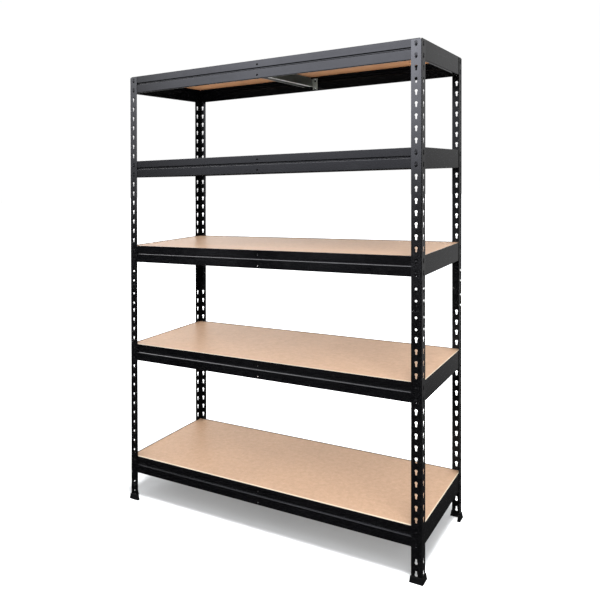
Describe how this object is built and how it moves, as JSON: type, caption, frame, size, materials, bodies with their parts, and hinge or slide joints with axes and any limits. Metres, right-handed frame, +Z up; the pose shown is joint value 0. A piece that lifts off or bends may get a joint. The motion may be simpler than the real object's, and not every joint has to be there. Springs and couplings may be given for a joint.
{
  "type": "boltless steel shelving",
  "caption": "Free-standing rivet-and-keyhole steel shelving with perforated angle posts, deep beams and rectangular board shelves.",
  "frame": {"origin": "centre of the footprint, on the floor", "axes": "+X to the right along the width seen from the front, +Y from front to back, +Z up"},
  "size_m": [1.2816, 0.5116, 1.8063],
  "materials": {
    "powder_coat": "semi-gloss black powder coat",
    "zinc": "galvanised, dull spangle",
    "rivet_zinc": "bright zinc plate",
    "mdf": "raw medium density fibreboard",
    "foot_plastic": "moulded black plastic"
  },
  "bodies": {
    "uprights": {"post_front_left_upper": "powder_coat", "post_front_left_lower": "powder_coat", "splice_front_left": "powder_coat", "foot_front_left": "foot_plastic", "post_front_right_upper": "powder_coat", "post_front_right_lower": "powder_coat", "splice_front_right": "powder_coat", "foot_front_right": "foot_plastic", "post_back_left_upper": "powder_coat", "post_back_left_lower": "powder_coat", "splice_back_left": "powder_coat", "foot_back_left": "foot_plastic", "post_back_right_upper": "powder_coat", "post_back_right_lower": "powder_coat", "splice_back_right": "powder_coat", "foot_back_right": "foot_plastic"},
    "shelf_1_frame": {"beam_front_shelf_1": "powder_coat", "beam_back_shelf_1": "powder_coat", "side_beam_left_shelf_1": "powder_coat", "side_beam_right_shelf_1": "powder_coat", "centre_bar_shelf_1": "zinc"},
    "shelf_1_board": {"board_shelf_1": "mdf"},
    "shelf_2_frame": {"beam_front_shelf_2": "powder_coat", "beam_back_shelf_2": "powder_coat", "side_beam_left_shelf_2": "powder_coat", "side_beam_right_shelf_2": "powder_coat", "centre_bar_shelf_2": "zinc"},
    "shelf_2_board": {"board_shelf_2": "mdf"},
    "shelf_3_frame": {"beam_front_shelf_3": "powder_coat", "beam_back_shelf_3": "powder_coat", "side_beam_left_shelf_3": "powder_coat", "side_beam_right_shelf_3": "powder_coat", "centre_bar_shelf_3": "zinc"},
    "shelf_3_board": {"board_shelf_3": "mdf"},
    "shelf_4_frame": {"beam_front_shelf_4": "powder_coat", "beam_back_shelf_4": "powder_coat", "side_beam_left_shelf_4": "powder_coat", "side_beam_right_shelf_4": "powder_coat", "centre_bar_shelf_4": "zinc"},
    "shelf_4_board": {"board_shelf_4": "mdf"},
    "shelf_5_frame": {"beam_front_shelf_5": "powder_coat", "beam_back_shelf_5": "powder_coat", "side_beam_left_shelf_5": "powder_coat", "side_beam_right_shelf_5": "powder_coat", "centre_bar_shelf_5": "zinc"},
    "shelf_5_board": {"board_shelf_5": "mdf"}
  },
  "joints": [
    {"name": "shelf_1_unhook", "type": "slide", "parent": "uprights", "child": "shelf_1_frame", "axis": [0, 0, 1], "range_m": [0, 0.0067]},
    {"name": "board_1_lift_out", "type": "slide", "parent": "shelf_1_frame", "child": "shelf_1_board", "axis": [0, 0, 1], "range_m": [0, 0.15]},
    {"name": "shelf_2_unhook", "type": "slide", "parent": "uprights", "child": "shelf_2_frame", "axis": [0, 0, 1], "range_m": [0, 0.0067]},
    {"name": "board_2_lift_out", "type": "slide", "parent": "shelf_2_frame", "child": "shelf_2_board", "axis": [0, 0, 1], "range_m": [0, 0.15]},
    {"name": "shelf_3_unhook", "type": "slide", "parent": "uprights", "child": "shelf_3_frame", "axis": [0, 0, 1], "range_m": [0, 0.0067]},
    {"name": "board_3_lift_out", "type": "slide", "parent": "shelf_3_frame", "child": "shelf_3_board", "axis": [0, 0, 1], "range_m": [0, 0.15]},
    {"name": "shelf_4_unhook", "type": "slide", "parent": "uprights", "child": "shelf_4_frame", "axis": [0, 0, 1], "range_m": [0, 0.0067]},
    {"name": "board_4_lift_out", "type": "slide", "parent": "shelf_4_frame", "child": "shelf_4_board", "axis": [0, 0, 1], "range_m": [0, 0.15]},
    {"name": "shelf_5_unhook", "type": "slide", "parent": "uprights", "child": "shelf_5_frame", "axis": [0, 0, 1], "range_m": [0, 0.0067]},
    {"name": "board_5_lift_out", "type": "slide", "parent": "shelf_5_frame", "child": "shelf_5_board", "axis": [0, 0, 1], "range_m": [0, 0.15]}
  ]
}
